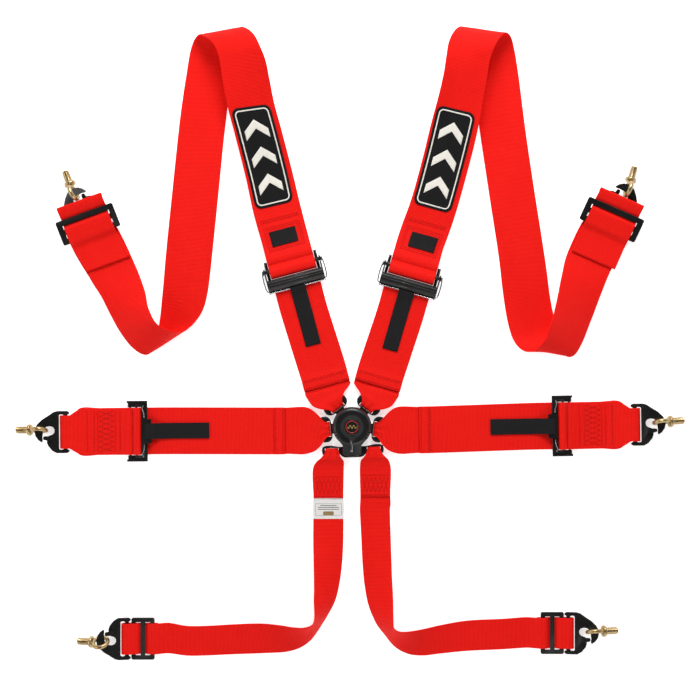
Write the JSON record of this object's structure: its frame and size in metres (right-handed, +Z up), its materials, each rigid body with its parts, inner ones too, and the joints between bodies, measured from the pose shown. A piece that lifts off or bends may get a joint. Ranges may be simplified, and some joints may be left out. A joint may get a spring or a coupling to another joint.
{
  "type": "racing harness",
  "caption": "Racing safety harness with a rotary buckle, red webbing, black steel adjusters and snap hooks on threaded eye bolts, laid out flat.",
  "frame": {"origin": "buckle's axis, at the surface the harness lies on", "axes": "+Z up out of the buckle's face, +Y towards the shoulder straps, +X to the picture's right"},
  "size_m": [1.0675, 1.0045, 0.064],
  "materials": {
    "red_webbing": "woven polyester webbing with a soft sheen",
    "black_webbing": "woven black webbing and cloth patches",
    "black_steel": "satin black coating on pressed steel",
    "bright_steel": "bare bright steel",
    "tongue_steel": "black coated steel with bright worn edges",
    "buckle_black": "black anodised cast alloy, semi-gloss",
    "badge_silver": null,
    "yellow_zinc": "yellow passivated zinc plate on forged steel",
    "white_label": "woven white label"
  },
  "bodies": {
    "buckle": {"buckle_base": "buckle_black", "buckle_housing": "buckle_black", "centre_post": "bright_steel", "housing_screws": "bright_steel"},
    "cap": {"release_cap": "buckle_black", "cap_badge": "badge_silver"},
    "pins": {"lock_pins": "bright_steel"},
    "left_shoulder": {"left_shoulder_tongue": "tongue_steel", "left_shoulder_lower_strap": "red_webbing", "left_shoulder_adjuster_frame": "black_steel", "left_shoulder_upper_strap": "red_webbing", "left_shoulder_slide": "black_steel"},
    "left_shoulder_lever_unit": {"left_shoulder_lever": "black_steel", "left_shoulder_wire_springs": "bright_steel", "left_shoulder_pull_tab": "black_webbing"},
    "right_shoulder": {"right_shoulder_tongue": "tongue_steel", "right_shoulder_lower_strap": "red_webbing", "right_shoulder_adjuster_frame": "black_steel", "right_shoulder_upper_strap": "red_webbing", "right_shoulder_slide": "black_steel"},
    "right_shoulder_lever_unit": {"right_shoulder_lever": "black_steel", "right_shoulder_wire_springs": "bright_steel", "right_shoulder_pull_tab": "black_webbing"},
    "left_lap": {"left_lap_tongue": "tongue_steel", "left_lap_strap": "red_webbing", "left_lap_adjuster_frame": "black_steel", "left_lap_anchor_strap": "red_webbing"},
    "left_lap_grip_unit": {"left_lap_grip": "black_steel", "left_lap_wire_springs": "bright_steel", "left_lap_pull_tab": "black_webbing"},
    "right_lap": {"right_lap_tongue": "tongue_steel", "right_lap_strap": "red_webbing", "right_lap_adjuster_frame": "black_steel", "right_lap_anchor_strap": "red_webbing"},
    "right_lap_grip_unit": {"right_lap_grip": "black_steel", "right_lap_wire_springs": "bright_steel", "right_lap_pull_tab": "black_webbing"},
    "crotch": {"crotch_tongue": "tongue_steel", "left_crotch_strap": "red_webbing", "right_crotch_strap": "red_webbing", "left_crotch_slide": "black_steel", "right_crotch_slide": "black_steel"},
    "left_shoulder_hook": {"left_shoulder_hook": "black_steel"},
    "left_shoulder_gate": {"left_shoulder_gate": "black_steel"},
    "left_shoulder_eye_bolt": {"left_shoulder_eye_bolt": "yellow_zinc"},
    "right_shoulder_hook": {"right_shoulder_hook": "black_steel"},
    "right_shoulder_gate": {"right_shoulder_gate": "black_steel"},
    "right_shoulder_eye_bolt": {"right_shoulder_eye_bolt": "yellow_zinc"},
    "left_lap_hook": {"left_lap_hook": "black_steel"},
    "left_lap_gate": {"left_lap_gate": "black_steel"},
    "left_lap_eye_bolt": {"left_lap_eye_bolt": "yellow_zinc"},
    "right_lap_hook": {"right_lap_hook": "black_steel"},
    "right_lap_gate": {"right_lap_gate": "black_steel"},
    "right_lap_eye_bolt": {"right_lap_eye_bolt": "yellow_zinc"},
    "left_crotch_hook": {"left_crotch_hook": "black_steel"},
    "left_crotch_gate": {"left_crotch_gate": "black_steel"},
    "left_crotch_eye_bolt": {"left_crotch_eye_bolt": "yellow_zinc"},
    "right_crotch_hook": {"right_crotch_hook": "black_steel"},
    "right_crotch_gate": {"right_crotch_gate": "black_steel"},
    "right_crotch_eye_bolt": {"right_crotch_eye_bolt": "yellow_zinc"}
  },
  "joints": [
    {"name": "cap_turn", "type": "hinge", "parent": "buckle", "child": "cap", "pos_m": [0, 0, 0.0144], "axis": [0, 0, 1], "range_deg": [0, 45], "stiffness_Nm_per_rad": 0.25},
    {"name": "pins_lift", "type": "slide", "parent": "buckle", "child": "pins", "axis": [0, 0, 1], "range_m": [0, 0.003]},
    {"name": "left_shoulder_tongue_release", "type": "slide", "parent": "buckle", "child": "left_shoulder", "axis": [-0.6157, 0.788, 0], "range_m": [0, 0.03]},
    {"name": "right_shoulder_tongue_release", "type": "slide", "parent": "buckle", "child": "right_shoulder", "axis": [0.6157, 0.788, 0], "range_m": [0, 0.03]},
    {"name": "left_lap_tongue_release", "type": "slide", "parent": "buckle", "child": "left_lap", "axis": [-0.9925, -0.1219, 0], "range_m": [0, 0.03]},
    {"name": "right_lap_tongue_release", "type": "slide", "parent": "buckle", "child": "right_lap", "axis": [0.9925, -0.1219, 0], "range_m": [0, 0.03]},
    {"name": "crotch_tongue_release", "type": "slide", "parent": "buckle", "child": "crotch", "axis": [0.0349, -0.9994, 0], "range_m": [0, 0.03]},
    {"name": "left_shoulder_lever_lift", "type": "hinge", "parent": "left_shoulder", "child": "left_shoulder_lever_unit", "pos_m": [-0.0955, 0.256, 0.009], "axis": [-0.9659, -0.2588, 0], "range_deg": [0, 60]},
    {"name": "right_shoulder_lever_lift", "type": "hinge", "parent": "right_shoulder", "child": "right_shoulder_lever_unit", "pos_m": [0.0965, 0.2475, 0.009], "axis": [-0.9613, 0.2756, 0], "range_deg": [0, 60]},
    {"name": "left_lap_grip_pull", "type": "slide", "parent": "left_lap", "child": "left_lap_grip_unit", "axis": [0.9999, 0.0105, 0], "range_m": [0, 0.0025], "stiffness_N_per_m": 800},
    {"name": "right_lap_grip_pull", "type": "slide", "parent": "right_lap", "child": "right_lap_grip_unit", "axis": [-0.9998, -0.0175, 0], "range_m": [0, 0.0025], "stiffness_N_per_m": 800},
    {"name": "left_shoulder_hook_swing", "type": "hinge", "parent": "left_shoulder", "child": "left_shoulder_hook", "pos_m": [-0.425, 0.335, 0.0065], "axis": [0.9397, 0.342, 0], "range_deg": [-75, 0]},
    {"name": "left_shoulder_gate_open", "type": "hinge", "parent": "left_shoulder_hook", "child": "left_shoulder_gate", "pos_m": [-0.42337, 0.36123, 0.01097], "axis": [0.0623, -0.1712, 0.9833], "range_deg": [0, 30], "stiffness_Nm_per_rad": 0.02},
    {"name": "left_shoulder_eye_bolt_swing", "type": "hinge", "parent": "left_shoulder_hook", "child": "left_shoulder_eye_bolt", "pos_m": [-0.44271, 0.37197, 0.015], "axis": [0.8731, 0.4438, 0.2017], "range_deg": [-45, 80]},
    {"name": "right_shoulder_hook_swing", "type": "hinge", "parent": "right_shoulder", "child": "right_shoulder_hook", "pos_m": [0.419, 0.342, 0.0065], "axis": [0.9164, -0.4003, 0], "range_deg": [-75, 0]},
    {"name": "right_shoulder_gate_open", "type": "hinge", "parent": "right_shoulder_hook", "child": "right_shoulder_gate", "pos_m": [0.41902, 0.36828, 0.01097], "axis": [0.073, 0.167, -0.9833], "range_deg": [0, 30], "stiffness_Nm_per_rad": 0.02},
    {"name": "right_shoulder_eye_bolt_swing", "type": "hinge", "parent": "right_shoulder_hook", "child": "right_shoulder_eye_bolt", "pos_m": [0.439, 0.37779, 0.015], "axis": [0.9345, -0.3412, -0.1014], "range_deg": [-45, 80]},
    {"name": "left_lap_hook_swing", "type": "hinge", "parent": "left_lap", "child": "left_lap_hook", "pos_m": [-0.457, -0.0092, 0.0065], "axis": [-0.0105, 0.9999, 0], "range_deg": [-75, 75]},
    {"name": "left_lap_gate_open", "type": "hinge", "parent": "left_lap_hook", "child": "left_lap_gate", "pos_m": [-0.48098, -0.01995, 0.01097], "axis": [-0.1822, -0.0019, -0.9833], "range_deg": [0, 30], "stiffness_Nm_per_rad": 0.02},
    {"name": "left_lap_eye_bolt_swing", "type": "hinge", "parent": "left_lap_hook", "child": "left_lap_eye_bolt", "pos_m": [-0.49784, -0.00563, 0.015], "axis": [0.0484, 0.9709, -0.2347], "range_deg": [-45, 80]},
    {"name": "right_lap_hook_swing", "type": "hinge", "parent": "right_lap", "child": "right_lap_hook", "pos_m": [0.451, 0.0025, 0.0065], "axis": [0.0175, -0.9998, 0], "range_deg": [-75, 75]},
    {"name": "right_lap_gate_open", "type": "hinge", "parent": "right_lap_hook", "child": "right_lap_gate", "pos_m": [0.47527, -0.00758, 0.01097], "axis": [-0.1822, -0.0032, 0.9833], "range_deg": [0, 30], "stiffness_Nm_per_rad": 0.02},
    {"name": "right_lap_eye_bolt_swing", "type": "hinge", "parent": "right_lap_hook", "child": "right_lap_eye_bolt", "pos_m": [0.49172, 0.00721, 0.015], "axis": [0.1092, -0.9659, 0.2347], "range_deg": [-45, 80]},
    {"name": "left_crotch_hook_swing", "type": "hinge", "parent": "crotch", "child": "left_crotch_hook", "pos_m": [-0.359, -0.339, 0.0065], "axis": [0, 1, 0], "range_deg": [-75, 75]},
    {"name": "left_crotch_gate_open", "type": "hinge", "parent": "left_crotch_hook", "child": "left_crotch_gate", "pos_m": [-0.38309, -0.3285, 0.01097], "axis": [0.1822, 0, 0.9833], "range_deg": [0, 22], "stiffness_Nm_per_rad": 0.02},
    {"name": "left_crotch_eye_bolt_swing", "type": "hinge", "parent": "left_crotch_hook", "child": "left_crotch_eye_bolt", "pos_m": [-0.3998, -0.343, 0.015], "axis": [-0.121, 0.866, 0.4851], "range_deg": [-45, 80]},
    {"name": "right_crotch_hook_swing", "type": "hinge", "parent": "crotch", "child": "right_crotch_hook", "pos_m": [0.345, -0.33, 0.0065], "axis": [0, -1, 0], "range_deg": [-75, 75]},
    {"name": "right_crotch_gate_open", "type": "hinge", "parent": "right_crotch_hook", "child": "right_crotch_gate", "pos_m": [0.36909, -0.3405, 0.01097], "axis": [-0.1822, 0, 0.9833], "range_deg": [0, 30], "stiffness_Nm_per_rad": 0.02},
    {"name": "right_crotch_eye_bolt_swing", "type": "hinge", "parent": "right_crotch_hook", "child": "right_crotch_eye_bolt", "pos_m": [0.3858, -0.326, 0.015], "axis": [0.0585, -0.9703, 0.2347], "range_deg": [-45, 80]}
  ],
  "couplings": [
    {"joint": "pins_lift", "follows": "cap_turn", "m_per_rad": 0.0038}
  ]
}
